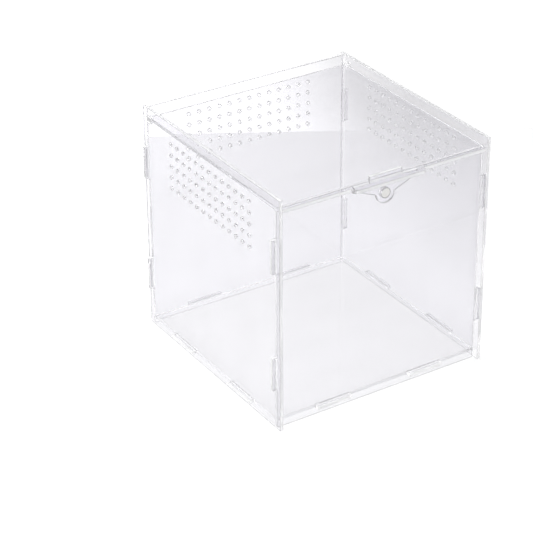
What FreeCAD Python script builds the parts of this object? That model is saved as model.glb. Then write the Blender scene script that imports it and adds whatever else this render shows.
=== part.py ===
"""Clear acrylic terrarium: slotted wall panels, a raised floor, a flip lid on two ears and a magnet latch.

Millimetres, +Z up, the front towards -Y. The origin is on the ground in the middle of the box's outline.
"""
import FreeCAD, Part
import math
import os
import re

import Sketcher

SHEET_NAME = "Sizes"

# Driving sizes: name, value, meaning
SIZES = (
    ("sheet_thickness", 3.0, "thickness of every acrylic panel"),
    ("butt_clearance", 0.1, "air gap where a panel's edge meets another panel"),
    ("slot_clearance", 0.1, "air gap on each side of a tab in its slot"),
    ("tab_reach", 3.0, "how far a tab stands out past its slot"),
    ("inner_width", 188.0, "clear width between the side panels"),
    ("side_depth", 200.0, "side panels, front to back"),
    ("side_height", 200.0, "side and back panels, ground to top edge"),
    ("front_setback", 5.5, "front panel's face behind the side panels' front edges"),
    ("back_setback", 3.0, "back panel's rear face before the side panels' rear edges"),
    ("wall_tab_length", 29.0, "upright tabs of the front and back panels"),
    ("wall_tab_pitch", 102.0, "from the lower to the upper of those tabs"),
    ("floor_height", 5.0, "floor's underside above the ground"),
    ("floor_tab_length", 32.0, "tabs along the floor's four edges"),
    ("floor_tab_pitch", 88.0, "between the two tabs of one edge"),
    ("vent_diameter", 3.0, "round vents"),
    ("vent_pitch", 9.6, "between vents, both ways"),
    ("vent_columns", 13, "vents in a row"),
    ("vent_rows", 5, "rows of vents"),
    ("vent_drop", 18.3, "top row of vents below the panel's top edge"),
    ("lid_drop", 8.0, "lid's top below the side panels' top edges"),
    ("lid_side_clearance", 0.3, "lid to side panel"),
    ("lid_rest_clearance", 0.2, "lid above the front panel's top edge"),
    ("ear_width", 6.0, "hinge ears, front to back"),
    ("ear_clearance", 0.3, "ear's corners to the round hinge hole"),
    ("swing_clearance", 0.45, "lid's turning rear corners to the back panel"),
    ("tongue_width", 67.0, "tongue at the lid's front, side to side"),
    ("tongue_reach", 5.0, "tongue in front of the lid's front edge"),
    ("tongue_corner", 4.0, "radius of the tongue's corners"),
    ("latch_gap", 0.5, "latch plate to the front panel"),
    ("latch_tab_width", 30.0, "grip that goes up through the lid"),
    ("latch_tab_rise", 4.0, "grip above the lid's top"),
    ("latch_shoulder_width", 58.0, "shoulders under the lid, tip to tip"),
    ("latch_tip_height", 2.0, "blunt ends of the shoulders"),
    ("latch_round_diameter", 17.0, "round lower end of the latch plate"),
    ("latch_drop", 10.5, "magnets' middle below the lid's underside"),
    ("magnet_diameter", 8.0, "round magnets"),
    ("magnet_thickness", 3.0, "round magnets"),
    ("magnet_clearance", 0.1, "magnet to the wall of its hole"),
    ("magnet_chamfer", 0.3, "broken edge of the magnets"),
)
NAME_PATTERN = re.compile(r"\b(" + "|".join(name for name, _, _ in SIZES) + r")\b")

# Places worked out from the sizes, counted from the middle of the side panels
RIGHT_INNER = "(inner_width / 2)"
WIDTH_OVER_TABS = "(inner_width + 2 * sheet_thickness + 2 * tab_reach)"
FRONT_OUTER = "(front_setback - side_depth / 2)"
FRONT_INNER = f"({FRONT_OUTER} + sheet_thickness)"
BACK_OUTER = "(side_depth / 2 - back_setback)"
BACK_INNER = f"({BACK_OUTER} - sheet_thickness)"
SLOT_WIDTH = "(sheet_thickness + 2 * slot_clearance)"
WALL_SLOT_LENGTH = "(wall_tab_length + 2 * slot_clearance)"
FLOOR_SLOT_LENGTH = "(floor_tab_length + 2 * slot_clearance)"
LOWER_WALL_TAB = "((side_height - wall_tab_pitch) / 2)"
FLOOR_MIDDLE = "(floor_height + sheet_thickness / 2)"
LID_UNDER = "(side_height - lid_drop - sheet_thickness)"
EAR_CORNER_RADIUS = "(sqrt(ear_width ^ 2 + sheet_thickness ^ 2) / 2)"
HINGE_BACK = f"({BACK_INNER} - {EAR_CORNER_RADIUS} - swing_clearance)"
HINGE_UP = f"({LID_UNDER} + sheet_thickness / 2)"
LID_FRONT = "(-side_depth / 2)"
LID_REAR = f"({HINGE_BACK} + ear_width / 2)"
LATCH_BACK = f"({FRONT_OUTER} - latch_gap)"
MAGNET_UP = f"({LID_UNDER} - latch_drop)"
MAGNET_HOLE = "(magnet_diameter + 2 * magnet_clearance)"

# The tongue makes the outline longer at the front, so everything stands half its reach further back
OUTLINE_SHIFT = "(tongue_reach / 2)"

ACROSS_AXIS, UPRIGHT_AXIS = range(-1, -3, -1)
LINE_START, LINE_END, CENTRE = range(1, 4)
SKETCH_ORIGIN = (ACROSS_AXIS, LINE_START)


def on_sheet(formula):
    """The formula with each size's name pointed at its cell."""
    return NAME_PATTERN.sub(lambda match: f"{SHEET_NAME}.{match.group()}", formula)


def bind(thing, field, formula):
    thing.setExpression(field, on_sheet(formula))


def measure(thing, formula):
    """The formula's value at the present sizes."""
    return float(thing.evalExpression(on_sheet(formula)))


def add_sizes(doc):
    sheet = doc.addObject("Spreadsheet::Sheet", SHEET_NAME)
    for row, (name, value, meaning) in enumerate(SIZES, start=1):
        sheet.set(f"A{row}", meaning)
        sheet.set(f"B{row}", str(value))
        sheet.setAlias(f"B{row}", name)
    doc.recompute()


def add_body(doc, label, across="0", back="0", up="0"):
    """An empty body at its place in the box."""
    body = doc.addObject("PartDesign::Body", label)
    body.Label = label
    bind(body, "Placement.Base.x", across)
    bind(body, "Placement.Base.y", f"{OUTLINE_SHIFT} + {back}")
    bind(body, "Placement.Base.z", up)
    return body


def add_sketch(body, name, plane, across="0", up="0"):
    """An empty sketch on one of the body's own planes, its origin moved within that plane."""
    sketch = body.newObject("Sketcher::SketchObject", name)
    support = next(item for item in body.Origin.OriginFeatures if item.Role == plane)
    sketch.AttachmentSupport = [(support, "")]
    sketch.MapMode = "FlatFace"
    bind(sketch, "AttachmentOffset.Base.x", across)
    bind(sketch, "AttachmentOffset.Base.y", up)
    return sketch


def constrain(sketch, kind, *items):
    return sketch.addConstraint(Sketcher.Constraint(kind, *items))


def dimension(sketch, name, formula, kind, *items):
    """A named dimension tied to the sizes."""
    index = constrain(sketch, kind, *items, measure(sketch, formula))
    sketch.renameConstraint(index, name)
    bind(sketch, f"Constraints.{name}", formula)


def draw_rectangle(sketch, width, height):
    """Rectangle centred on the sketch's origin."""
    side = measure(sketch, width) / 2
    top = measure(sketch, height) / 2
    corners = [FreeCAD.Vector(x, y) for x, y in ((-side, -top), (side, -top), (side, top), (-side, top))]
    for start, end in zip(corners, corners[1:] + corners[:1]):
        sketch.addGeometry(Part.LineSegment(start, end))
    for line in range(4):
        constrain(sketch, "Coincident", line, LINE_END, (line + 1) % 4, LINE_START)
        constrain(sketch, ("Horizontal", "Vertical")[line % 2], line)
    constrain(sketch, "Symmetric", 0, LINE_START, 2, LINE_START, *SKETCH_ORIGIN)
    dimension(sketch, "width", width, "DistanceX", 0, LINE_START, 0, LINE_END)
    dimension(sketch, "height", height, "DistanceY", 1, LINE_START, 1, LINE_END)


def draw_rounded_rectangle(sketch, width, height, corner):
    """Rectangle with round corners, centred on the sketch's origin."""
    side = measure(sketch, width) / 2
    top = measure(sketch, height) / 2
    radius = measure(sketch, corner)
    ends = (
        (radius - side, -top, side - radius, -top),
        (side, radius - top, side, top - radius),
        (side - radius, top, radius - side, top),
        (-side, top - radius, -side, radius - top),
    )
    for x1, y1, x2, y2 in ends:
        sketch.addGeometry(Part.LineSegment(FreeCAD.Vector(x1, y1), FreeCAD.Vector(x2, y2)))
    for turn, (across, up) in enumerate(((1, -1), (1, 1), (-1, 1), (-1, -1))):
        centre = FreeCAD.Vector(across * (side - radius), up * (top - radius))
        start = (turn - 1) * math.pi / 2
        circle = Part.Circle(centre, FreeCAD.Vector(0, 0, 1), radius)
        sketch.addGeometry(Part.ArcOfCircle(circle, start, start + math.pi / 2))
    arcs = range(4, 8)
    for line, arc in enumerate(arcs):
        constrain(sketch, ("Horizontal", "Vertical")[line % 2], line)
        constrain(sketch, "Tangent", line, LINE_END, arc, LINE_START)
        constrain(sketch, "Tangent", arc, LINE_END, (line + 1) % 4, LINE_START)
    for arc in arcs[1:]:
        constrain(sketch, "Equal", arcs[0], arc)
    constrain(sketch, "Symmetric", arcs[0], CENTRE, arcs[2], CENTRE, *SKETCH_ORIGIN)
    dimension(sketch, "corner", corner, "Radius", arcs[0])
    dimension(sketch, "width", width, "DistanceX", 3, LINE_START, 1, LINE_START)
    dimension(sketch, "height", height, "DistanceY", 0, LINE_START, 2, LINE_START)


def draw_circle(sketch, diameter):
    """Circle about the sketch's origin."""
    circle = Part.Circle(FreeCAD.Vector(), FreeCAD.Vector(0, 0, 1), measure(sketch, diameter) / 2)
    sketch.addGeometry(circle)
    constrain(sketch, "Coincident", 0, CENTRE, *SKETCH_ORIGIN)
    dimension(sketch, "diameter", diameter, "Diameter", 0)


def draw_bell(sketch):
    """Latch plate's outline, upright on the lid's underside: grip, shoulders, sloping wings and a half round."""
    grip = measure(sketch, "latch_tab_width") / 2
    top = measure(sketch, "sheet_thickness + latch_tab_rise")
    shoulder = measure(sketch, "latch_shoulder_width") / 2
    seat = -measure(sketch, "butt_clearance")
    tip = seat - measure(sketch, "latch_tip_height")
    radius = measure(sketch, "latch_round_diameter") / 2
    middle = -measure(sketch, "latch_drop")
    right = ((grip, top), (grip, seat), (shoulder, seat), (shoulder, tip), (radius, middle))
    left = [(-x, y) for x, y in reversed(right)]
    for run in (right, left):
        points = [FreeCAD.Vector(x, y) for x, y in run]
        for start, end in zip(points, points[1:]):
            sketch.addGeometry(Part.LineSegment(start, end))
    circle = Part.Circle(FreeCAD.Vector(0, middle), FreeCAD.Vector(0, 0, 1), radius)
    sketch.addGeometry(Part.ArcOfCircle(circle, math.pi, 2 * math.pi))
    sketch.addGeometry(Part.LineSegment(FreeCAD.Vector(-grip, top), FreeCAD.Vector(grip, top)))
    side, seat_line, tip_line, wing = range(4)
    left_wing, left_tip, left_seat, left_side, half_round, top_line = range(4, 10)
    for run in ((side, seat_line, tip_line, wing), (left_wing, left_tip, left_seat, left_side, top_line, side)):
        for line, following in zip(run, run[1:]):
            constrain(sketch, "Coincident", line, LINE_END, following, LINE_START)
    constrain(sketch, "Coincident", wing, LINE_END, half_round, LINE_END)
    constrain(sketch, "Coincident", left_wing, LINE_START, half_round, LINE_START)
    for line in (side, tip_line, left_side):
        constrain(sketch, "Vertical", line)
    for line in (seat_line, top_line):
        constrain(sketch, "Horizontal", line)
    for line, twin in ((side, left_side), (seat_line, left_seat), (tip_line, left_tip)):
        constrain(sketch, "Symmetric", line, LINE_END, twin, LINE_START, UPRIGHT_AXIS)
    constrain(sketch, "PointOnObject", half_round, CENTRE, UPRIGHT_AXIS)
    for end in (LINE_START, LINE_END):
        constrain(sketch, "Horizontal", half_round, CENTRE, half_round, end)
    dimension(sketch, "grip_width", "latch_tab_width", "DistanceX", top_line, LINE_START, top_line, LINE_END)
    dimension(sketch, "grip_top", "sheet_thickness + latch_tab_rise",
              "DistanceY", *SKETCH_ORIGIN, top_line, LINE_END)
    dimension(sketch, "seat", "butt_clearance", "DistanceY", seat_line, LINE_START, *SKETCH_ORIGIN)
    dimension(sketch, "shoulder_width", "latch_shoulder_width",
              "DistanceX", left_tip, LINE_START, tip_line, LINE_END)
    dimension(sketch, "tip_height", "latch_tip_height", "DistanceY", tip_line, LINE_END, tip_line, LINE_START)
    dimension(sketch, "round_diameter", "latch_round_diameter", "Diameter", half_round)
    dimension(sketch, "round_drop", "latch_drop", "DistanceY", half_round, CENTRE, *SKETCH_ORIGIN)


def add_pad(sketch, name, length="sheet_thickness"):
    """Solid from a sketch, along the sketch's normal."""
    pad = sketch.getParentGeoFeatureGroup().newObject("PartDesign::Pad", name)
    pad.Profile = sketch
    pad.Refine = True
    bind(pad, "Length", length)
    return pad


def add_cut(sketch, name):
    """Cut right through the panel that stands on the sketch's plane."""
    pocket = sketch.getParentGeoFeatureGroup().newObject("PartDesign::Pocket", name)
    pocket.Profile = sketch
    pocket.Type = "ThroughAll"
    pocket.Reversed = True
    return pocket


def add_row(feature, name, axis, spacing, count):
    """Copies of a tab or cut along an axis of its sketch."""
    body = feature.getParentGeoFeatureGroup()
    pattern = body.newObject("PartDesign::LinearPattern", name)
    pattern.Originals = [feature]
    pattern.Direction = (feature.Profile[0], [axis])
    pattern.Mode = "Spacing"
    pattern.Refine = True
    bind(pattern, "Offset", spacing)
    bind(pattern, "Occurrences", count)
    body.Tip = pattern
    return pattern


def add_vents(body, plane, top_edge):
    """Grid of round vents, filled row by row from its lower left corner."""
    first_across = "-vent_pitch * (vent_columns - 1) / 2"
    first_up = f"{top_edge} - vent_drop - vent_pitch * (vent_rows - 1)"
    sketch = add_sketch(body, "Vent", plane, first_across, first_up)
    draw_circle(sketch, "vent_diameter")
    grid = add_row(add_cut(sketch, "VentCut"), "VentGrid", "H_Axis", "vent_pitch", "vent_columns")
    grid.Direction2 = (sketch, ["V_Axis"])
    bind(grid, "Length2", "vent_pitch * (vent_rows - 1)")
    bind(grid, "Occurrences2", "vent_rows")


def add_slot_pair(body, name, plane, across, up, width, height, axis, pitch):
    """Two equal slots, the second one pitch further along the axis."""
    sketch = add_sketch(body, name, plane, across, up)
    draw_rectangle(sketch, width, height)
    add_row(add_cut(sketch, f"{name}Cut"), f"{name}Pair", axis, pitch, "2")


def add_tab_pair(body, name, plane, across, up, width, height, axis, pitch):
    """Two equal bars across the panel, whose ends stand out as tabs."""
    sketch = add_sketch(body, name, plane, across, up)
    draw_rectangle(sketch, width, height)
    add_row(add_pad(sketch, f"{name}Bar"), f"{name}Pair", axis, pitch, "2")


def add_outline(body, plane, width, height, across="0", up="0"):
    """The panel's plain rectangle."""
    sketch = add_sketch(body, "Outline", plane, across, up)
    draw_rectangle(sketch, width, height)
    add_pad(sketch, "Panel")


def make_side_panel(doc, label, across):
    """Side wall: slots for the front, back and floor tabs, the hinge hole and the vents."""
    body = add_body(doc, label, across=across)
    add_outline(body, "YZ_Plane", "side_depth", "side_height", up="side_height / 2")
    for name, face in (("FrontSlot", FRONT_OUTER), ("BackSlot", BACK_INNER)):
        add_slot_pair(body, name, "YZ_Plane", f"{face} + sheet_thickness / 2", LOWER_WALL_TAB,
                      SLOT_WIDTH, WALL_SLOT_LENGTH, "V_Axis", "wall_tab_pitch")
    add_slot_pair(body, "FloorSlot", "YZ_Plane", "-floor_tab_pitch / 2", FLOOR_MIDDLE,
                  FLOOR_SLOT_LENGTH, SLOT_WIDTH, "H_Axis", "floor_tab_pitch")
    hinge = add_sketch(body, "Hinge", "YZ_Plane", HINGE_BACK, HINGE_UP)
    draw_circle(hinge, f"2 * ({EAR_CORNER_RADIUS} + ear_clearance)")
    add_cut(hinge, "HingeHole")
    add_vents(body, "YZ_Plane", "side_height")
    return body


def make_cross_panel(doc, label, inner_face, height):
    """Front or back wall: a sheet between the side panels, its tabs through them and the floor's slots."""
    body = add_body(doc, label, back=inner_face)
    add_outline(body, "XZ_Plane", "inner_width - 2 * butt_clearance", height, up=f"{height} / 2")
    add_tab_pair(body, "WallTab", "XZ_Plane", "0", LOWER_WALL_TAB,
                 WIDTH_OVER_TABS, "wall_tab_length", "V_Axis", "wall_tab_pitch")
    add_slot_pair(body, "FloorSlot", "XZ_Plane", "-floor_tab_pitch / 2", FLOOR_MIDDLE,
                  FLOOR_SLOT_LENGTH, SLOT_WIDTH, "H_Axis", "floor_tab_pitch")
    return body


def make_back_panel(doc):
    body = make_cross_panel(doc, "back_panel", BACK_OUTER, "side_height")
    add_vents(body, "XZ_Plane", "side_height")
    return body


def make_front_panel(doc):
    """Front wall: ends just under the lid, with a hole for its magnet."""
    body = make_cross_panel(doc, "front_panel", FRONT_INNER, f"({LID_UNDER} - lid_rest_clearance)")
    magnet = add_sketch(body, "Magnet", "XZ_Plane", up=MAGNET_UP)
    draw_circle(magnet, MAGNET_HOLE)
    add_cut(magnet, "MagnetHole")
    return body


def make_floor_panel(doc):
    """Floor: a sheet between the four walls with two tabs through each of them."""
    body = add_body(doc, "floor_panel", up="floor_height")
    middle = f"({FRONT_INNER} + {BACK_INNER}) / 2"
    add_outline(body, "XY_Plane", "inner_width - 2 * butt_clearance",
                f"{BACK_INNER} - {FRONT_INNER} - 2 * butt_clearance", up=middle)
    add_tab_pair(body, "SideTab", "XY_Plane", "0", "-floor_tab_pitch / 2",
                 WIDTH_OVER_TABS, "floor_tab_length", "V_Axis", "floor_tab_pitch")
    add_tab_pair(body, "EndTab", "XY_Plane", "-floor_tab_pitch / 2", f"({FRONT_OUTER} + {BACK_OUTER}) / 2",
                 "floor_tab_length", f"{BACK_OUTER} - {FRONT_OUTER} + 2 * tab_reach", "H_Axis", "floor_tab_pitch")
    return body


def make_lid(doc):
    """Lid: a sheet between the side panels, with ears into the hinge holes and a tongue over the latch."""
    body = add_body(doc, "lid", up=LID_UNDER)
    add_outline(body, "XY_Plane", "inner_width - 2 * lid_side_clearance", f"{LID_REAR} - {LID_FRONT}",
                up=f"({LID_REAR} + {LID_FRONT}) / 2")
    ears = add_sketch(body, "Ears", "XY_Plane", up=HINGE_BACK)
    draw_rectangle(ears, "inner_width + 2 * sheet_thickness", "ear_width")
    add_pad(ears, "EarBar")
    tongue = add_sketch(body, "Tongue", "XY_Plane", up=f"{LID_FRONT} + tongue_corner")
    draw_rounded_rectangle(tongue, "tongue_width", "2 * (tongue_reach + tongue_corner)", "tongue_corner")
    add_pad(tongue, "TongueSheet")
    slot = add_sketch(body, "LatchSlot", "XY_Plane", up=f"{LATCH_BACK} - sheet_thickness / 2")
    draw_rectangle(slot, "latch_tab_width + 2 * slot_clearance", SLOT_WIDTH)
    add_cut(slot, "LatchSlotCut")
    return body


def make_latch_plate(doc):
    """Latch: a bell-shaped plate hung from the lid in front of the front panel, with a hole for its magnet."""
    body = add_body(doc, "latch_plate", back=LATCH_BACK, up=LID_UNDER)
    bell = add_sketch(body, "Bell", "XZ_Plane")
    draw_bell(bell)
    add_pad(bell, "Plate")
    magnet = add_sketch(body, "Magnet", "XZ_Plane", up="-latch_drop")
    draw_circle(magnet, MAGNET_HOLE)
    add_cut(magnet, "MagnetHole")
    return body


def make_magnet(doc, label, back):
    """Round magnet with broken edges, lying front to back, its rear face at the given place."""
    body = add_body(doc, label, back=back, up=MAGNET_UP)
    disc = add_sketch(body, "Disc", "XZ_Plane")
    draw_circle(disc, "magnet_diameter")
    slug = add_pad(disc, "Slug", "magnet_thickness")
    doc.recompute()
    rims = [f"Edge{number}" for number, edge in enumerate(slug.Shape.Edges, start=1) if edge.isClosed()]
    chamfer = body.newObject("PartDesign::Chamfer", "BrokenEdge")
    chamfer.Base = (slug, rims)
    bind(chamfer, "Size", "magnet_chamfer")
    return body


def check(doc, bodies):
    """Stops if a feature failed, a cut took nothing away or a piece isn't one sound solid."""
    for item in doc.Objects:
        if {"Invalid", "Error"} & set(item.State):
            raise RuntimeError(f"{item.Name} failed: {item.State}")
        if item.isDerivedFrom("PartDesign::Pocket") and item.Shape.Volume >= item.BaseFeature.Shape.Volume:
            raise RuntimeError(f"{item.Name} cuts nothing")
    for body in bodies:
        if body.Shape.isNull() or not body.Shape.isValid() or len(body.Shape.Solids) != 1:
            raise RuntimeError(f"{body.Label} isn't one sound solid")


def main():
    doc = FreeCAD.newDocument("Terrarium")
    add_sizes(doc)
    bodies = [
        make_side_panel(doc, "left_panel", f"-{RIGHT_INNER} - sheet_thickness"),
        make_side_panel(doc, "right_panel", RIGHT_INNER),
        make_back_panel(doc),
        make_front_panel(doc),
        make_floor_panel(doc),
        make_lid(doc),
        make_latch_plate(doc),
        make_magnet(doc, "latch_magnet", LATCH_BACK),
        make_magnet(doc, "front_magnet", f"{FRONT_OUTER} + magnet_thickness"),
    ]
    doc.recompute()
    check(doc, bodies)
    os.makedirs("parts", exist_ok=True)
    for body in bodies:
        body.Shape.exportStep(os.path.join("parts", f"{body.Label}.step"))
        box = body.Shape.BoundBox
        print(f"{body.Label}: volume {body.Shape.Volume:.1f}, x {box.XMin:.2f} to {box.XMax:.2f}, "
              f"y {box.YMin:.2f} to {box.YMax:.2f}, z {box.ZMin:.2f} to {box.ZMax:.2f}")


main()
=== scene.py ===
"""Looks for the clear acrylic terrarium.

Clear sheet with laser-cut edges, nickel magnets, a pale table and soft studio light.
"""
import math
from functools import cached_property

import bmesh
import bpy
from bpy.props import FloatProperty, FloatVectorProperty, PointerProperty
from mathutils import Matrix, Vector


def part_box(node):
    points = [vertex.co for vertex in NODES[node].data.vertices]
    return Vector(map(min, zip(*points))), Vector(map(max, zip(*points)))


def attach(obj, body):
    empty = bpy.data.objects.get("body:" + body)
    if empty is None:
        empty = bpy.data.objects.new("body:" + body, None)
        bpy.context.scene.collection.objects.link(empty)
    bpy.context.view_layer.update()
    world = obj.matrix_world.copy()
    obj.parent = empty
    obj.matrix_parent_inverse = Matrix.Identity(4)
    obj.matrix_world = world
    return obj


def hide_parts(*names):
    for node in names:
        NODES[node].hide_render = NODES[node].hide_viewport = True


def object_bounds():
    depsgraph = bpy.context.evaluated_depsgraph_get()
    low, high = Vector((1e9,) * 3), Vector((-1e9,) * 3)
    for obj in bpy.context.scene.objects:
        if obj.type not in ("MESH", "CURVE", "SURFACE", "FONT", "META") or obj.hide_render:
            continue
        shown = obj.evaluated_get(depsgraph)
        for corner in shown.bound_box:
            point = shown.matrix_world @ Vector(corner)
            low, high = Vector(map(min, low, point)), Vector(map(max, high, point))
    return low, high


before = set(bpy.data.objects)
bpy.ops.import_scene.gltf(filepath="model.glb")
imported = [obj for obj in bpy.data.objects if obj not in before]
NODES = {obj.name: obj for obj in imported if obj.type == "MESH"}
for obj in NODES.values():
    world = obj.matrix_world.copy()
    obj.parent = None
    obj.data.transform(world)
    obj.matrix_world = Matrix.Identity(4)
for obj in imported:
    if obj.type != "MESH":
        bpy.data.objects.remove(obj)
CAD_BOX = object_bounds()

bl_info = {
    "name": "Terrarium looks",
    "version": (1, 0, 0),
    "blender": (4, 5, 0),
    "location": "3D View > Sidebar > Terrarium",
    "description": "Dresses the clear acrylic terrarium and sets its stage",
    "category": "Object",
}

ACROSS, DEEP, UP = range(3)
AXES = (ACROSS, DEEP, UP)
CLEAR = 1.0
EVEN = (1.0, 1.0, 1.0)
UNTURNED = (0.0, 0.0, 0.0)
ZERO_TO_ONE = (0.0, 1.0)

# Blender's mix node: its factor and two ends among the inputs, and its output, for numbers and for colours
MIX_SOCKETS = {"FLOAT": ((0, 2, 3), 0), "RGBA": ((0, 6, 7), 2)}

# Meshes
MERGE_DISTANCE = 1e-6
FLAT_ANGLE = math.radians(1.0)
SMOOTH_ANGLE = math.radians(20.0)
SHARP_ANGLE = math.radians(45.0)
ARRIS_SEGMENTS = 2
DISC_SEGMENTS = 64
RIM_SEGMENTS = 5
SIDE_CORNERS = 4
QUARTER_TURN = math.radians(90.0)

# Places on a sheet: a turn is the size of a normal's part along an axis, the rest is in metres
TURNED = 0.5
ARRIS_TURN = 0.62
ARRIS_TURN_SPAN = 0.34
EDGE_DEPTH = 0.001
HOLE_MARGIN = 0.0005

# Tint and clearness of the broken edge along the bottom of a wall's inner face
INNER_FOOT_LOOK = ((0.97, 0.97, 0.975, 1.0), 0.15)

# Heights where the low tint's painted light ends, from the floor's middle to just above it, and where the
# high tint's painted shade sets in
FLOOR_BOTTOM, FLOOR_TOP = (corner[UP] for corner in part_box("floor_panel"))
LOW_MARGIN = 0.0005
LOW_BAND = ((FLOOR_BOTTOM + FLOOR_TOP) / 2.0, FLOOR_TOP + LOW_MARGIN)
HIGH_SHADE_BAND = (0.06, 0.2)

# The high tint's painted shade weakens from the middle of a side panel towards its back
HIGH_SHADE_FADE = (0.0, 0.09)
HIGH_SHADE_SHARES = (1.0, 0.3)

# Acrylic: smears and haze on the faces, beam marks across the cut walls
ACRYLIC_IOR = 1.49
SMEAR_LENGTH = 0.09
SMEAR_STRETCH = (1.0, 4.0, 1.6)
SMEAR_TURN = (0.3, 0.2, 0.6)
SMEAR_DETAIL = 4.0
SMEAR_NOISE = (0.42, 0.72)
SMEAR_SHADE = 0.98
HAZE_PATCH = 0.045
HAZE_DETAIL = 3.0
HAZE_NOISE = (0.35, 0.75)
HAZE_ROUGHNESS = (0.0, 0.03)
HAZE_HEIGHT = 0.2
STREAK_PITCH = 0.0003
STREAK_STRETCH = 0.04
STREAK_DETAIL = 2.0
STREAK_NOISE = (0.3, 0.7)
STREAK_ROUGHNESS = (0.02, 0.07)
BUMP_STRENGTH = 0.03
BUMP_DISTANCE = 0.00003

# Nickel: fine grain
GRAIN_PITCH = 1.0 / 900.0
GRAIN_DETAIL = 3.0
GRAIN_NOISE = (0.3, 0.7)
GRAIN_ROUGHNESS = (0.1, 0.24)
GRAIN_SHADE = 0.86

# Table: it ends behind the box and is shaded under and around it, by the distance from the box's middle
TABLE_HALF = 3.0
TABLE_END = 0.4
TABLE_DROP = 0.0001
TABLE_TURN = math.radians(-31.0)
TABLE_WHITES = ((0.93, 0.93, 0.935, 1.0), (0.91, 0.91, 0.915, 1.0))
TABLE_ROUGHNESS = 0.9
CLOUD_PATCH = 0.25
CLOUD_DETAIL = 2.0
UNDER_BAND = (0.075, 0.095)
UNDER_SHADES = (0.94, 0.87)
BESIDE_BAND = (0.1, 0.14)

# Lights, which shine straight down
KEY_PLACE = (-0.55, 0.12, 1.6)
KEY_SIZE = 1.0
FAR_PLACE = (0.115, 0.375, 0.12)
FAR_SIZE = 0.08
LIGHT_BOUNCES = 48

# World: directions to the view's right and up and to its front, and the bands where its brightness changes
TO_RIGHT = (0.845, -0.535, 0.6)
TO_FRONT = (-0.535, -0.845, 0.0)
RIGHT_BAND = (-0.251, -0.2)
FRONT_BAND = (-0.3, 0.1)
BELOW_BAND = (-0.4, 0.0)
ROOM_BAND = (0.16, 0.34)
WORLD_WHITE = (1.0, 1.0, 1.0, 1.0)

# Camera: angles in radians, places in metres, lens and sensor in millimetres
VIEW_AZIMUTH = math.radians(-32.363)
VIEW_ELEVATION = math.radians(29.266)
VIEW_ROLL = math.radians(-0.505)
VIEW_CENTRE = (0.0, 0.0025, 0.1)
VIEW_DISTANCE = 1.632
SLIDE_RIGHT = -0.03765
SLIDE_UP = -0.02679
LENS_LENGTH = 136.72
SENSOR_WIDTH = 36.0
CLIP_START = 0.05


def tint(name, description, red, green, blue):
    """A colour that a user may change."""
    return FloatVectorProperty(
        name=name, description=description, subtype="COLOR", size=4, min=0.0, max=1.0,
        default=(red, green, blue, 1.0),
    )


def share(name, description, default):
    """A number from 0 to 1 that a user may change."""
    return FloatProperty(
        name=name, description=description, subtype="FACTOR", min=0.0, max=1.0, default=default
    )


def length(name, description, default):
    """A size in metres that a user may change."""
    return FloatProperty(
        name=name, description=description, subtype="DISTANCE", unit="LENGTH", min=0.0, default=default
    )


def power(name, description, default):
    """A light's power in watts that a user may change."""
    return FloatProperty(name=name, description=description, unit="POWER", default=default)


def brightness(name, description, default):
    """A brightness that a user may change; 1 is white."""
    return FloatProperty(name=name, description=description, default=default)


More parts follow.
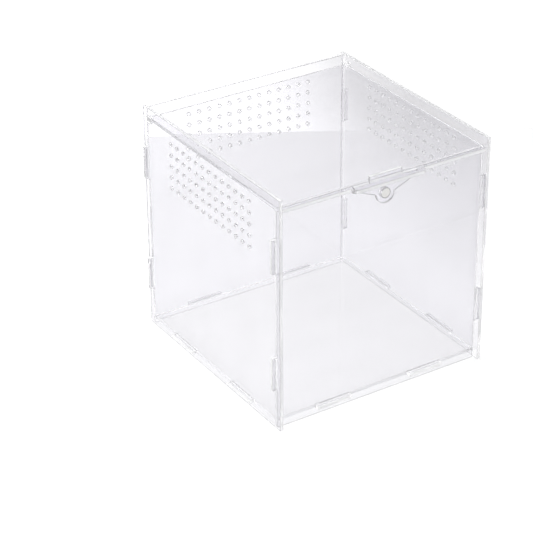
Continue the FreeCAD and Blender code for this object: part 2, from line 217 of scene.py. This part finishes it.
class WallLooks(bpy.types.PropertyGroup):
    """Four walls of clear sheet with laser-cut edges and vents."""

    # The four face tints are partly painted shade: one clear sheet is given a different tint on each panel,
    # to set how light or dark that panel looks.
    left_tint: tint("Left", "What the left panel lets through", 0.935, 0.931, 0.952)
    right_tint: tint("Right", "What the right panel lets through", 0.885, 0.881, 0.9)
    # Painted shade: the right panel's faces are tinted darker towards their top.
    right_high_painted_shade_tint: tint(
        "Right, high", "What the right panel lets through near its top", 0.715, 0.71, 0.73
    )
    front_tint: tint("Front", "What the front panel lets through", 0.88, 0.876, 0.897)
    back_tint: tint("Back", "What the back panel lets through", 0.86, 0.856, 0.875)
    # Painted light: the right and back panels are tinted nearly clear below the floor, and so is the right
    # panel behind the back panel.
    far_low_painted_light_tint: tint(
        "Far, low", "What the right and back panels let through below the floor", 0.99, 0.987, 1.0
    )
    edge_tint: tint("Edges", "Colour of the walls' cut edges", 0.9, 0.9, 0.912)
    edge_clear: share("Edge clearness", "How much of an edge is clear and not frosted", 0.6)
    back_end_tint: tint(
        "Back ends", "Colour of the back panel's edges at the left and right", 0.97, 0.97, 0.98
    )
    back_end_clear: share("Back end clearness", "How much of those edges is clear and not frosted", 0.95)
    # The top edge tints are partly painted shade: the same cut edge is tinted darker on the right panel than
    # on the left.
    left_top_tint: tint("Left top edge", "Colour of the left panel's top edge", 0.8, 0.8, 0.815)
    right_top_tint: tint("Right top edge", "Colour of the right panel's top edge", 0.7, 0.7, 0.715)
    cross_top_tint: tint(
        "Front and back top edges", "Colour of the front and back panels' top edges", 0.86, 0.86, 0.875
    )
    # The bottom edge tints are partly painted shade: darker on the left and front panels, nearly white on
    # the right and back.
    near_foot_tint: tint(
        "Near bottom edges", "Colour of the left and front panels' bottom edges", 0.84, 0.84, 0.85
    )
    far_foot_tint: tint(
        "Far bottom edges", "Colour of the right and back panels' bottom edges", 0.99, 0.99, 0.995
    )
    foot_clear: share("Bottom edge clearness", "How much of a bottom edge is clear and not frosted", 0.3)
    rim: length("Rim", "Cut walls further than this inside a sheet's outline are holes", 0.015)
    # The vent tints are partly painted shade: the same cut is tinted darkest and most frosted on the right
    # panel, palest on the back and front.
    left_vent_tint: tint(
        "Left vents", "What the walls of the left panel's vents let through", 0.86, 0.86, 0.87
    )
    right_vent_tint: tint(
        "Right vents", "Colour of the walls of the right panel's vents", 0.8, 0.8, 0.81
    )
    right_vent_clear: share(
        "Right vent clearness", "How much of a right vent's wall is clear and not frosted", 0.3
    )
    back_vent_tint: tint(
        "Back vents", "Colour of the walls of the back panel's vents and the front's hole", 0.97, 0.97, 0.98
    )
    back_vent_clear: share(
        "Back vent clearness", "How much of those walls is clear and not frosted", 0.75
    )
    # The arris tints are painted shade: dark lines along the broken edges, darker on the left and front
    # panels than on the right and back, darkest along the back panel's top.
    arris: length("Arris", "Width of the broken edge between a face and a cut wall", 0.0003)
    arris_tint: tint("Arris shade", "Colour of the left and front panels' broken edges", 0.5, 0.5, 0.51)
    right_arris_tint: tint(
        "Right arris shade", "Colour of the right panel's broken edges", 0.65, 0.65, 0.66
    )
    back_arris_tint: tint("Back arris shade", "Colour of the back panel's broken edges", 0.86, 0.86, 0.87)
    back_top_arris_tint: tint("Back top arris shade", "The same along the back panel's top", 0.3, 0.3, 0.31)
    arris_clear: share("Arris clearness", "How much of a broken edge is clear and not frosted", 0.3)
    far_arris_clear: share("Far arris clearness", "The same for the right and back panels", 0.6)
    # Painted shadow: a near-black line along the left and front panels' lowest outer edges, where they meet
    # the table.
    contact_shadow_tint: tint("Contact line", "Colour of the near panels' lowest outer edges", 0.06, 0.06, 0.065)
    contact_shadow_clear: share("Contact clearness", "How much of those edges is clear and not frosted", 0.1)


class FloorLooks(bpy.types.PropertyGroup):
    """Raised floor of clear sheet."""

    face_tint: tint("Sheet", "What the floor lets through", 0.995, 0.992, 1.0)
    edge_tint: tint("Edges", "Colour of the floor's cut edges", 0.97, 0.97, 0.975)
    edge_clear: share("Edge clearness", "How much of an edge is clear and not frosted", 0.25)
    far_edge_clear: share("Far edge clearness", "The same for the right and back edges", 0.9)
    arris: length("Arris", "Width of the broken edge between a face and a cut wall", 0.0002)
    arris_tint: tint("Arris shade", "Colour of the broken edges", 0.95, 0.95, 0.96)
    arris_clear: share("Arris clearness", "How much of a broken edge is clear and not frosted", 0.3)


class LidLooks(bpy.types.PropertyGroup):
    """Lid of clear sheet and its latch plate."""

    face_tint: tint("Sheet", "What the lid and the latch plate let through", 0.965, 0.96, 0.98)
    edge_tint: tint("Edges", "Colour of the cut edges", 0.93, 0.93, 0.94)
    edge_clear: share("Edge clearness", "How much of an edge is clear and not frosted", 0.4)
    side_tint: tint("Side edges", "What the lid's side edges let through", 0.85, 0.85, 0.86)
    # Painted shade: the latch plate's ends are tinted much darker than its other cut edges.
    grip_end_tint: tint("Grip ends", "Colour of the latch plate's ends", 0.42, 0.42, 0.43)
    grip_top_tint: tint("Grip top", "Colour of the grip's top edge", 0.82, 0.82, 0.83)
    # Painted shade: the wall of the latch magnet's hole is tinted nearly black, a dark ring around the
    # magnet.
    seat_shade_tint: tint(
        "Magnet seat", "What the wall of the latch magnet's hole lets through", 0.04, 0.04, 0.045
    )
    arris: length("Arris", "Width of the broken edge between a face and a cut wall", 0.0003)
    # The arris tint is painted shade: a dark line along the broken edges.
    arris_tint: tint("Arris shade", "Colour of the broken edges", 0.58, 0.58, 0.59)
    arris_clear: share("Arris clearness", "How much of a broken edge is clear and not frosted", 0.3)


class MagnetLooks(bpy.types.PropertyGroup):
    """Round magnets with bright nickel plating."""

    colour: tint("Nickel", "Colour of the plating", 0.85, 0.843, 0.83)
    rim: length("Rim", "Radius of the rounded rim", 0.0005)


class StageLooks(bpy.types.PropertyGroup):
    """Light on the box and around it."""

    key_power: power("Key light", "Power of the soft light", 27.5)
    far_power: power("Far light", "Power of the light behind", 0.025)
    backdrop: brightness("Backdrop", "Brightness behind the table, at the left", 1.6)
    backdrop_right: brightness("Backdrop's right", "Brightness behind the table, at the right", 1.02)
    room: brightness("Room", "Brightness of the room above and behind", 0.42)
    room_front: brightness("Room's front", "Brightness of the room above the camera", 0.5)
    room_below: brightness("Room below", "Brightness mirrored from below", 0.45)
    front_below: brightness("Front below", "Brightness mirrored from below and in front", 0.98)


def plug(tree, socket, value):
    """Links a socket to another one, or sets its own value."""
    if isinstance(value, bpy.types.NodeSocket):
        tree.links.new(value, socket)
    else:
        socket.default_value = value


def add_node(tree, kind, **inputs):
    """A node with some of its inputs linked or set, by name."""
    node = tree.nodes.new(kind)
    for name, value in inputs.items():
        plug(tree, node.inputs[name], value)
    return node


def calculate(tree, operation, *values):
    """What a math node makes of its values."""
    node = tree.nodes.new("ShaderNodeMath")
    node.operation = operation
    for socket, value in zip(node.inputs, values):
        plug(tree, socket, value)
    return node.outputs[0]


def mix(tree, kind, *factor_and_ends):
    """What a mix node makes of a factor and two ends."""
    node = tree.nodes.new("ShaderNodeMix")
    node.data_type = kind
    inputs, output = MIX_SOCKETS[kind]
    for socket, value in zip(inputs, factor_and_ends):
        plug(tree, node.inputs[socket], value)
    return node.outputs[output]


def blend(tree, amount, first, second):
    """Number from first to second as amount goes from 0 to 1."""
    return mix(tree, "FLOAT", amount, first, second)


def blend_colour(tree, amount, first, second):
    """Colour from first to second as amount goes from 0 to 1."""
    return mix(tree, "RGBA", amount, first, second)


def spread(tree, value, source, target=ZERO_TO_ONE):
    """Number that goes through target as value goes through source, and stays at its ends beyond."""
    node = tree.nodes.new("ShaderNodeMapRange")
    for socket, number in zip(node.inputs, (value, *source, *target)):
        plug(tree, socket, number)
    return node.outputs[0]


def split(tree, vector):
    """The three parts of a vector."""
    return add_node(tree, "ShaderNodeSeparateXYZ", Vector=vector).outputs


def lean(tree, direction, axis):
    """How far a direction points along an axis."""
    node = tree.nodes.new("ShaderNodeVectorMath")
    node.operation = "DOT_PRODUCT"
    for socket, value in zip(node.inputs, (direction, axis)):
        plug(tree, socket, value)
    return node.outputs["Value"]


def map_noise(tree, where, pitch, detail, stretch=EVEN, turn=UNTURNED):
    """Noise whose patches are about a pitch wide."""
    mapping = add_node(tree, "ShaderNodeMapping", Vector=where, Scale=stretch, Rotation=turn)
    noise = add_node(
        tree, "ShaderNodeTexNoise", Vector=mapping.outputs[0], Scale=1.0 / pitch, Detail=detail
    )
    return noise.outputs["Fac"]


def shade_colour(colour, amount):
    """A colour made darker, as opaque as before."""
    return tuple(amount * part for part in colour[:3]) + (1.0,)


def new_material(name):
    """Material with its shader; returns it, its tree and the shader."""
    material = bpy.data.materials.new(name)
    material.use_nodes = True
    tree = material.node_tree
    return material, tree, tree.nodes["Principled BSDF"]


def grown_box(node, margin):
    """Corners of a node's box, moved outwards by a margin."""
    lowest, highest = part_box(node)
    return [low - margin for low in lowest], [high + margin for high in highest]


class SheetPlaces:
    """Places on a sheet, made when first asked for: each is a shader number, 1 there and 0 elsewhere."""

    def __init__(self, tree, node, thickness_axis, hole_box):
        coordinates = tree.nodes.new("ShaderNodeTexCoord")
        self.tree = tree
        self.thickness_axis = thickness_axis
        self.hole_box = hole_box
        self.lowest, self.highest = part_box(node)
        self.where = coordinates.outputs["Object"]
        self.point = split(tree, self.where)
        self.facing = split(tree, coordinates.outputs["Normal"])

    def work_out(self, operation, *values):
        """A shader number worked out from others."""
        return calculate(self.tree, operation, *values)

    def both(self, first, second):
        """Where two places overlap."""
        return self.work_out("MULTIPLY", first, second)

    def past(self, axis, limit):
        """Points past a limit along an axis."""
        return self.work_out("GREATER_THAN", self.point[axis], limit)

    def before(self, axis, limit):
        """Points before a limit along an axis."""
        return self.work_out("LESS_THAN", self.point[axis], limit)

    def turn(self, axis):
        """How squarely the surface faces along an axis, either way: 0 for not at all and 1 for square."""
        return self.work_out("ABSOLUTE", self.facing[axis])

    def turned(self, axis):
        """Surfaces that face along an axis, either way."""
        return self.work_out("GREATER_THAN", self.turn(axis), TURNED)

    @cached_property
    def edge(self):
        """All cut walls."""
        return self.work_out("LESS_THAN", self.turn(self.thickness_axis), TURNED)

    @cached_property
    def ends(self):
        """Cut walls that face left and right."""
        return self.turned(ACROSS)

    @cached_property
    def far(self):
        """Cut walls at the right and back."""
        across_and_deep = self.work_out("ADD", self.point[ACROSS], self.point[DEEP])
        return self.both(self.edge, self.work_out("GREATER_THAN", across_and_deep, 0.0))

    @cached_property
    def near_top(self):
        """The highest part of the sheet."""
        return self.past(UP, self.highest[UP] - EDGE_DEPTH)

    @cached_property
    def near_foot(self):
        """The lowest part of the sheet."""
        return self.before(UP, self.lowest[UP] + EDGE_DEPTH)

    @cached_property
    def top(self):
        """The top edge."""
        return self.both(self.turned(UP), self.near_top)

    @cached_property
    def foot(self):
        """The bottom edge."""
        return self.both(self.turned(UP), self.near_foot)

    @cached_property
    def hole(self):
        """Walls of the holes, which lie in the holes' box."""
        walls = self.edge
        for axis, low, high in zip(AXES, *self.hole_box):
            if axis != self.thickness_axis:
                walls = self.both(walls, self.both(self.past(axis, low), self.before(axis, high)))
        return walls

    @cached_property
    def rear_strip(self):
        """The strip of a side panel from the back panel's inner face backwards."""
        return self.past(DEEP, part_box("back_panel")[0][DEEP])

    @cached_property
    def rear_wall(self):
        """Cut walls in that strip that face forwards and back."""
        return self.both(self.rear_strip, self.turned(DEEP))

    @cached_property
    def arris(self):
        """Broken edges between faces and cut walls."""
        return self.work_out("COMPARE", self.turn(self.thickness_axis), ARRIS_TURN, ARRIS_TURN_SPAN)

    @cached_property
    def top_arris(self):
        """Broken edges along the top."""
        return self.both(self.arris, self.near_top)

    @cached_property
    def foot_arris(self):
        """Broken edges along the bottom."""
        return self.both(self.arris, self.near_foot)

    @cached_property
    def inner_foot_arris(self):
        """The broken edge along the bottom of the inner face."""
        axis = self.thickness_axis
        middle = abs(self.lowest[axis] + self.highest[axis]) / 2.0
        inner = self.work_out("LESS_THAN", self.work_out("ABSOLUTE", self.point[axis]), middle)
        return self.both(self.foot_arris, inner)


def smear_tint(tree, smear, face_tint):
    """A face's tint, a little less clear where it is smeared."""
    dull_tint = shade_colour(face_tint, SMEAR_SHADE)
    return blend_colour(tree, spread(tree, smear, SMEAR_NOISE), face_tint, dull_tint)


def tint_faces(places, face_tint, low_painted_light_tint, high_painted_shade_tint):
    """Colour of a sheet's faces; the low tint is painted light near the ground, the high tint is painted
    shade near the top, and the low tint also goes on the rear strip of a sheet with a high one.
    """
    tree, point = places.tree, places.point
    smear = map_noise(tree, places.where, SMEAR_LENGTH, SMEAR_DETAIL, SMEAR_STRETCH, SMEAR_TURN)
    colour = smear_tint(tree, smear, face_tint)
    # Painted light: a nearly clear tint below the floor's top.
    if low_painted_light_tint is not None:
        colour = blend_colour(tree, spread(tree, point[UP], LOW_BAND), low_painted_light_tint, colour)
    # Painted shade: a darker tint towards the top, weaker towards the back.
    if high_painted_shade_tint is not None:
        height = spread(tree, point[UP], HIGH_SHADE_BAND)
        fade = spread(tree, point[DEEP], HIGH_SHADE_FADE, HIGH_SHADE_SHARES)
        colour = blend_colour(tree, places.both(height, fade), colour, smear_tint(tree, smear, high_painted_shade_tint))
        # Painted light on the strip behind the back panel, as below the floor.
        colour = blend_colour(tree, places.rear_strip, colour, low_painted_light_tint)
    return colour


def finish_sheet(places, shader):
    """Faint haze on a sheet's faces and beam marks across its cut walls."""
    tree = places.tree
    streak_stretch = list(EVEN)
    streak_stretch[places.thickness_axis] = STREAK_STRETCH
    streak = map_noise(tree, places.where, STREAK_PITCH, STREAK_DETAIL, streak_stretch)
    haze = map_noise(tree, places.where, HAZE_PATCH, HAZE_DETAIL)
    face_rough = spread(tree, haze, HAZE_NOISE, HAZE_ROUGHNESS)
    edge_rough = spread(tree, streak, STREAK_NOISE, STREAK_ROUGHNESS)
    plug(tree, shader.inputs["Roughness"], blend(tree, places.edge, face_rough, edge_rough))
    height = blend(tree, places.edge, calculate(tree, "MULTIPLY", haze, HAZE_HEIGHT), streak)
    bump = add_node(tree, "ShaderNodeBump", Height=height, Strength=BUMP_STRENGTH, Distance=BUMP_DISTANCE)
    plug(tree, shader.inputs["Normal"], bump.outputs[0])


def make_sheet(name, node, thickness_axis, face_tint, cuts, hole_box=None, low_painted_light_tint=None, high_painted_shade_tint=None):
    """Clear acrylic sheet.

    cuts gives the tint and clearness of places by their names in SheetPlaces; a later one covers an earlier.
    The low and high tints are painted light and painted shade on the faces: clearer near the ground, darker
    near the top.
    """
    material, tree, shader = new_material(name)
    places = SheetPlaces(tree, node, thickness_axis, hole_box)
    colour = tint_faces(places, face_tint, low_painted_light_tint, high_painted_shade_tint)
    clear = CLEAR
    for place_name, (cut_tint, cut_clear) in cuts.items():
        place = getattr(places, place_name)
        colour = blend_colour(tree, place, colour, cut_tint)
        clear = blend(tree, place, clear, cut_clear)
    plug(tree, shader.inputs["Base Color"], colour)
    plug(tree, shader.inputs["Transmission Weight"], clear)
    shader.inputs["IOR"].default_value = ACRYLIC_IOR
    finish_sheet(places, shader)
    return material


def make_nickel(name, colour):
    """Bright nickel plating with a fine grain."""
    material, tree, shader = new_material(name)
    where = tree.nodes.new("ShaderNodeTexCoord").outputs["Object"]
    grain = map_noise(tree, where, GRAIN_PITCH, GRAIN_DETAIL)
    plug(tree, shader.inputs["Roughness"], spread(tree, grain, GRAIN_NOISE, GRAIN_ROUGHNESS))
    dull = shade_colour(colour, GRAIN_SHADE)
    plug(tree, shader.inputs["Base Color"], blend_colour(tree, grain, colour, dull))
    shader.inputs["Metallic"].default_value = 1.0
    return material


def break_edges(shape, edges, width, segments):
    """Rounds some edges of a bmesh."""
    bmesh.ops.bevel(
        shape, geom=edges, offset=width, segments=segments, profile=0.5, affect="EDGES", material=-1
    )


def add_piece(name, shape, material, node, body):
    """A mesh object made from a bmesh, in the place of a CAD node and riding on its body."""
    mesh = bpy.data.meshes.new(name)
    shape.to_mesh(mesh)
    shape.free()
    mesh.shade_smooth()
    mesh.materials.append(material)
    piece = bpy.data.objects.new(name, mesh)
    bpy.context.scene.collection.objects.link(piece)
    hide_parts(node)
    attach(piece, body)
    return piece


def build_sheet(node, body, arris, material):
    """The node's cut sheet with its arrises broken, letting the light through to the table."""
    shape = bmesh.new()
    shape.from_mesh(NODES[node].data)
    bmesh.ops.remove_doubles(shape, verts=shape.verts, dist=MERGE_DISTANCE)
    bmesh.ops.dissolve_limit(shape, angle_limit=FLAT_ANGLE, verts=shape.verts, edges=shape.edges)
    sharp = [edge for edge in shape.edges if edge.calc_face_angle() > SHARP_ANGLE]
    break_edges(shape, sharp, arris, ARRIS_SEGMENTS)
    sheet = add_piece(f"{node}_sheet", shape, material, node, body)
    sheet.data.attributes.remove(sheet.data.attributes["custom_normal"])
    sheet.data.set_sharp_from_angle(angle=SMOOTH_ANGLE)
    sheet.visible_shadow = False
    sheet.visible_diffuse = False


class TERRARIUM_OT_walls(bpy.types.Operator):
    """Clear sheet on the four walls"""

    bl_idname = "terrarium.walls"
    bl_label = "Dress the walls"

    def execute(self, context):
        looks = context.scene.terrarium_walls
        faces = {
            "left_panel": {"thickness_axis": ACROSS, "face_tint": looks.left_tint},
            "right_panel": {
                "thickness_axis": ACROSS,
                "face_tint": looks.right_tint,
                "low_painted_light_tint": looks.far_low_painted_light_tint,
                "high_painted_shade_tint": looks.right_high_painted_shade_tint,
            },
            "back_panel": {
                "thickness_axis": DEEP,
                "face_tint": looks.back_tint,
                "low_painted_light_tint": looks.far_low_painted_light_tint,
            },
            "front_panel": {"thickness_axis": DEEP, "face_tint": looks.front_tint},
        }
        cross_top = (looks.cross_top_tint, looks.edge_clear)
        cross_hole = (looks.back_vent_tint, looks.back_vent_clear)
        near_foot = (looks.near_foot_tint, looks.foot_clear)
        far_foot = (looks.far_foot_tint, looks.foot_clear)
        near_arris = (looks.arris_tint, looks.arris_clear)
        back_arris = (looks.back_arris_tint, looks.far_arris_clear)
        contact_shadow = (looks.contact_shadow_tint, looks.contact_shadow_clear)
        wall_cuts = {
            "left_panel": {
                "top": (looks.left_top_tint, looks.edge_clear),
                "foot": near_foot,
                "hole": (looks.left_vent_tint, CLEAR),
                "arris": near_arris,
                "foot_arris": contact_shadow,
            },
            "right_panel": {
                "top": (looks.right_top_tint, looks.edge_clear),
                "foot": far_foot,
                "hole": (looks.right_vent_tint, looks.right_vent_clear),
                # Painted light on the cut walls behind the back panel.
                "rear_wall": (looks.far_low_painted_light_tint, CLEAR),
                "arris": (looks.right_arris_tint, looks.far_arris_clear),
                "foot_arris": back_arris,
            },
            "back_panel": {
                "ends": (looks.back_end_tint, looks.back_end_clear),
                "top": cross_top,
                "foot": far_foot,
                "hole": cross_hole,
                "arris": back_arris,
                "top_arris": (looks.back_top_arris_tint, looks.arris_clear),
            },
            "front_panel": {
                "top": cross_top,
                "foot": near_foot,
                "hole": cross_hole,
                "arris": near_arris,
                "foot_arris": contact_shadow,
            },
        }
        edge = (looks.edge_tint, looks.edge_clear)
        for node, face in faces.items():
            cuts = {"edge": edge, **wall_cuts[node], "inner_foot_arris": INNER_FOOT_LOOK}
            hole_box = grown_box(node, -looks.rim)
            acrylic = make_sheet(f"{node}_acrylic", node, cuts=cuts, hole_box=hole_box, **face)
            build_sheet(node, "box", looks.arris, acrylic)
        return {"FINISHED"}


class TERRARIUM_OT_floor(bpy.types.Operator):
    """Clear sheet on the raised floor"""

    bl_idname = "terrarium.floor"
    bl_label = "Dress the floor"

    def execute(self, context):
        looks = context.scene.terrarium_floor
        cuts = {
            "edge": (looks.edge_tint, looks.edge_clear),
            "far": (looks.edge_tint, looks.far_edge_clear),
            "arris": (looks.arris_tint, looks.arris_clear),
        }
        acrylic = make_sheet("floor_acrylic", "floor_panel", UP, looks.face_tint, cuts)
        build_sheet("floor_panel", "box", looks.arris, acrylic)
        return {"FINISHED"}


class TERRARIUM_OT_lid(bpy.types.Operator):
    """Clear sheet on the lid and its latch plate"""

    bl_idname = "terrarium.lid"
    bl_label = "Dress the lid"

    def execute(self, context):
        looks = context.scene.terrarium_lid
        edge = (looks.edge_tint, looks.edge_clear)
        arris = (looks.arris_tint, looks.arris_clear)
        lid_cuts = {"edge": edge, "ends": (looks.side_tint, CLEAR), "arris": arris}
        latch_cuts = {
            "edge": edge,
            "ends": (looks.grip_end_tint, looks.edge_clear),
            "top": (looks.grip_top_tint, looks.edge_clear),
            "hole": (looks.seat_shade_tint, CLEAR),
            "arris": arris,
        }
        seat_box = grown_box("latch_magnet", HOLE_MARGIN)
        lid_acrylic = make_sheet("lid_acrylic", "lid", UP, looks.face_tint, lid_cuts)
        latch_acrylic = make_sheet(
            "latch_acrylic", "latch_plate", DEEP, looks.face_tint, latch_cuts, hole_box=seat_box
        )
        build_sheet("lid", "lid", looks.arris, lid_acrylic)
        build_sheet("latch_plate", "lid", looks.arris, latch_acrylic)
        return {"FINISHED"}


def build_magnet(node, body, rim, material):
    """Plated disc with rounded rims in the place of a plain one."""
    lowest, highest = (Vector(corner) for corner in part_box(node))
    across, deep, _ = highest - lowest
    radius = across / 2.0
    shape = bmesh.new()
    bmesh.ops.create_cone(
        shape, cap_ends=True, segments=DISC_SEGMENTS, radius1=radius, radius2=radius, depth=deep
    )
    rims = [edge for edge in shape.edges if any(len(face.verts) > SIDE_CORNERS for face in edge.link_faces)]
    break_edges(shape, rims, rim, RIM_SEGMENTS)
    caps = [face for face in shape.faces if len(face.verts) > SIDE_CORNERS]
    bmesh.ops.inset_individual(shape, faces=caps, thickness=rim)
    bmesh.ops.rotate(shape, matrix=Matrix.Rotation(QUARTER_TURN, 3, "X"), verts=shape.verts)
    bmesh.ops.translate(shape, vec=(lowest + highest) / 2.0, verts=shape.verts)
    add_piece(f"{node}_disc", shape, material, node, body)


class TERRARIUM_OT_magnets(bpy.types.Operator):
    """Two plated magnets that hold the lid shut"""

    bl_idname = "terrarium.magnets"
    bl_label = "Build the magnets"

    def execute(self, context):
        looks = context.scene.terrarium_magnets
        nickel = make_nickel("magnet_nickel", looks.colour)
        build_magnet("latch_magnet", "lid", looks.rim, nickel)
        build_magnet("front_magnet", "box", looks.rim, nickel)
        return {"FINISHED"}


def make_table_white():
    """Pale table top, faintly clouded, with a soft shade under the box that is deeper at its near sides."""
    material, tree, shader = new_material("table_white")
    where = tree.nodes.new("ShaderNodeTexCoord").outputs["Object"]
    point = split(tree, where)
    cloud = map_noise(tree, where, CLOUD_PATCH, CLOUD_DETAIL)
    white = blend_colour(tree, cloud, *TABLE_WHITES)
    lowest, highest = CAD_BOX
    reach, near_reach = 0.0, 0.0
    for axis in (ACROSS, DEEP):
        offset = calculate(tree, "SUBTRACT", (lowest[axis] + highest[axis]) / 2.0, point[axis])
        reach = calculate(tree, "MAXIMUM", reach, calculate(tree, "ABSOLUTE", offset))
        near_reach = calculate(tree, "MAXIMUM", near_reach, offset)
    under = spread(tree, near_reach, UNDER_BAND, UNDER_SHADES)
    shade = blend(tree, spread(tree, reach, BESIDE_BAND), under, 1.0)
    shaded = tree.nodes.new("ShaderNodeVectorMath")
    shaded.operation = "SCALE"
    plug(tree, shaded.inputs[0], white)
    plug(tree, shaded.inputs["Scale"], shade)
    plug(tree, shader.inputs["Base Color"], shaded.outputs[0])
    shader.inputs["Roughness"].default_value = TABLE_ROUGHNESS
    shader.inputs["Specular IOR Level"].default_value = 0.0
    return material


def add_table():
    """Table top that ends behind the box, about square to the view."""
    shape = bmesh.new()
    bmesh.ops.create_grid(shape, x_segments=1, y_segments=1, size=TABLE_HALF)
    forwards = Matrix.Translation((0.0, TABLE_END - TABLE_HALF, -TABLE_DROP))
    turned = Matrix.Rotation(TABLE_TURN, 4, "Z") @ forwards
    bmesh.ops.transform(shape, matrix=turned, verts=shape.verts)
    mesh = bpy.data.meshes.new("table")
    shape.to_mesh(mesh)
    shape.free()
    mesh.materials.append(make_table_white())
    table = bpy.data.objects.new("table", mesh)
    bpy.context.scene.collection.objects.link(table)
    table.visible_glossy = False


def add_soft_light(name, place, size, watts):
    """Square light that shines straight down."""
    light = bpy.data.lights.new(name, "AREA")
    light.shape = "SQUARE"
    light.size = size
    light.energy = watts
    holder = bpy.data.objects.new(name, light)
    bpy.context.scene.collection.objects.link(holder)
    holder.location = place
    return holder


def set_world(looks):
    """White behind and below, falling off to the right, with a dim room above and in mirrors."""
    world = bpy.data.worlds.new("studio")
    world.use_nodes = True
    tree = world.node_tree
    direction = tree.nodes.new("ShaderNodeTexCoord").outputs["Generated"]
    parts = split(tree, direction)
    ray = tree.nodes.new("ShaderNodeLightPath").outputs
    # A ray through clear sheet counts as glossy too, so it is taken off.
    mirrored = calculate(tree, "SUBTRACT", ray["Is Glossy Ray"], ray["Is Transmission Ray"])
    backdrop = (looks.backdrop, looks.backdrop_right)
    behind = spread(tree, lean(tree, direction, TO_RIGHT), RIGHT_BAND, backdrop)
    below = spread(tree, parts[DEEP], BELOW_BAND, (looks.front_below, looks.room_below))
    low = blend(tree, mirrored, behind, below)
    room = (looks.room, looks.room_front)
    above = spread(tree, lean(tree, direction, TO_FRONT), FRONT_BAND, room)
    high = spread(tree, parts[UP], ROOM_BAND)
    light = tree.nodes["Background"].inputs
    plug(tree, light["Strength"], blend(tree, high, low, above))
    light["Color"].default_value = WORLD_WHITE
    bpy.context.scene.world = world


def add_camera():
    """Camera at the photograph's viewing angle."""
    away = Vector((
        math.sin(VIEW_AZIMUTH) * math.cos(VIEW_ELEVATION),
        -math.cos(VIEW_AZIMUTH) * math.cos(VIEW_ELEVATION),
        math.sin(VIEW_ELEVATION),
    ))
    right = (-away).cross(Vector((0.0, 0.0, 1.0))).normalized()
    up = right.cross(-away)
    tilted_right = right * math.cos(VIEW_ROLL) + up * math.sin(VIEW_ROLL)
    tilted_up = up * math.cos(VIEW_ROLL) - right * math.sin(VIEW_ROLL)
    place = Vector(VIEW_CENTRE) + away * VIEW_DISTANCE + tilted_right * SLIDE_RIGHT + tilted_up * SLIDE_UP
    view = Matrix((tilted_right, tilted_up, away)).transposed().to_4x4()
    lens = bpy.data.cameras.new("camera")
    lens.lens = LENS_LENGTH
    lens.sensor_width = SENSOR_WIDTH
    lens.clip_start = CLIP_START
    camera = bpy.data.objects.new("camera", lens)
    bpy.context.scene.collection.objects.link(camera)
    camera.matrix_world = Matrix.Translation(place) @ view
    bpy.context.scene.camera = camera


class TERRARIUM_OT_stage(bpy.types.Operator):
    """Table, light and camera"""

    bl_idname = "terrarium.stage"
    bl_label = "Set the stage"

    def execute(self, context):
        scene = context.scene
        looks = scene.terrarium_stage
        add_table()
        add_soft_light("key", KEY_PLACE, KEY_SIZE, looks.key_power)
        far_light = add_soft_light("far", FAR_PLACE, FAR_SIZE, looks.far_power)
        far_light.visible_glossy = False
        far_light.visible_transmission = False
        set_world(looks)
        add_camera()
        scene.view_settings.view_transform = "Standard"
        for limit in ("max_bounces", "glossy_bounces", "transmission_bounces"):
            setattr(scene.cycles, limit, LIGHT_BOUNCES)
        return {"FINISHED"}


class TERRARIUM_PT_looks(bpy.types.Panel):
    """Looks of the terrarium"""

    bl_idname = "TERRARIUM_PT_looks"
    bl_label = "Terrarium"
    bl_space_type = "VIEW_3D"
    bl_region_type = "UI"
    bl_category = "Terrarium"

    def draw(self, context):
        for operator in OPERATORS:
            self.layout.operator(operator.bl_idname)
        for group_name in GROUPS:
            group = getattr(context.scene, group_name)
            for name in group.__annotations__:
                self.layout.prop(group, name)


GROUPS = {
    "terrarium_walls": WallLooks,
    "terrarium_floor": FloorLooks,
    "terrarium_lid": LidLooks,
    "terrarium_magnets": MagnetLooks,
    "terrarium_stage": StageLooks,
}
OPERATORS = (
    TERRARIUM_OT_walls,
    TERRARIUM_OT_floor,
    TERRARIUM_OT_lid,
    TERRARIUM_OT_magnets,
    TERRARIUM_OT_stage,
)
CLASSES = (*GROUPS.values(), *OPERATORS, TERRARIUM_PT_looks)


def register():
    for item in CLASSES:
        bpy.utils.register_class(item)
    for name, group in GROUPS.items():
        setattr(bpy.types.Scene, name, PointerProperty(type=group))


def unregister():
    for name in GROUPS:
        delattr(bpy.types.Scene, name)
    for item in reversed(CLASSES):
        bpy.utils.unregister_class(item)


def main():
    """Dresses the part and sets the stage."""
    register()
    bpy.ops.terrarium.walls()
    bpy.ops.terrarium.floor()
    bpy.ops.terrarium.lid()
    bpy.ops.terrarium.magnets()
    bpy.ops.terrarium.stage()


if __name__ == "__main__":
    main()
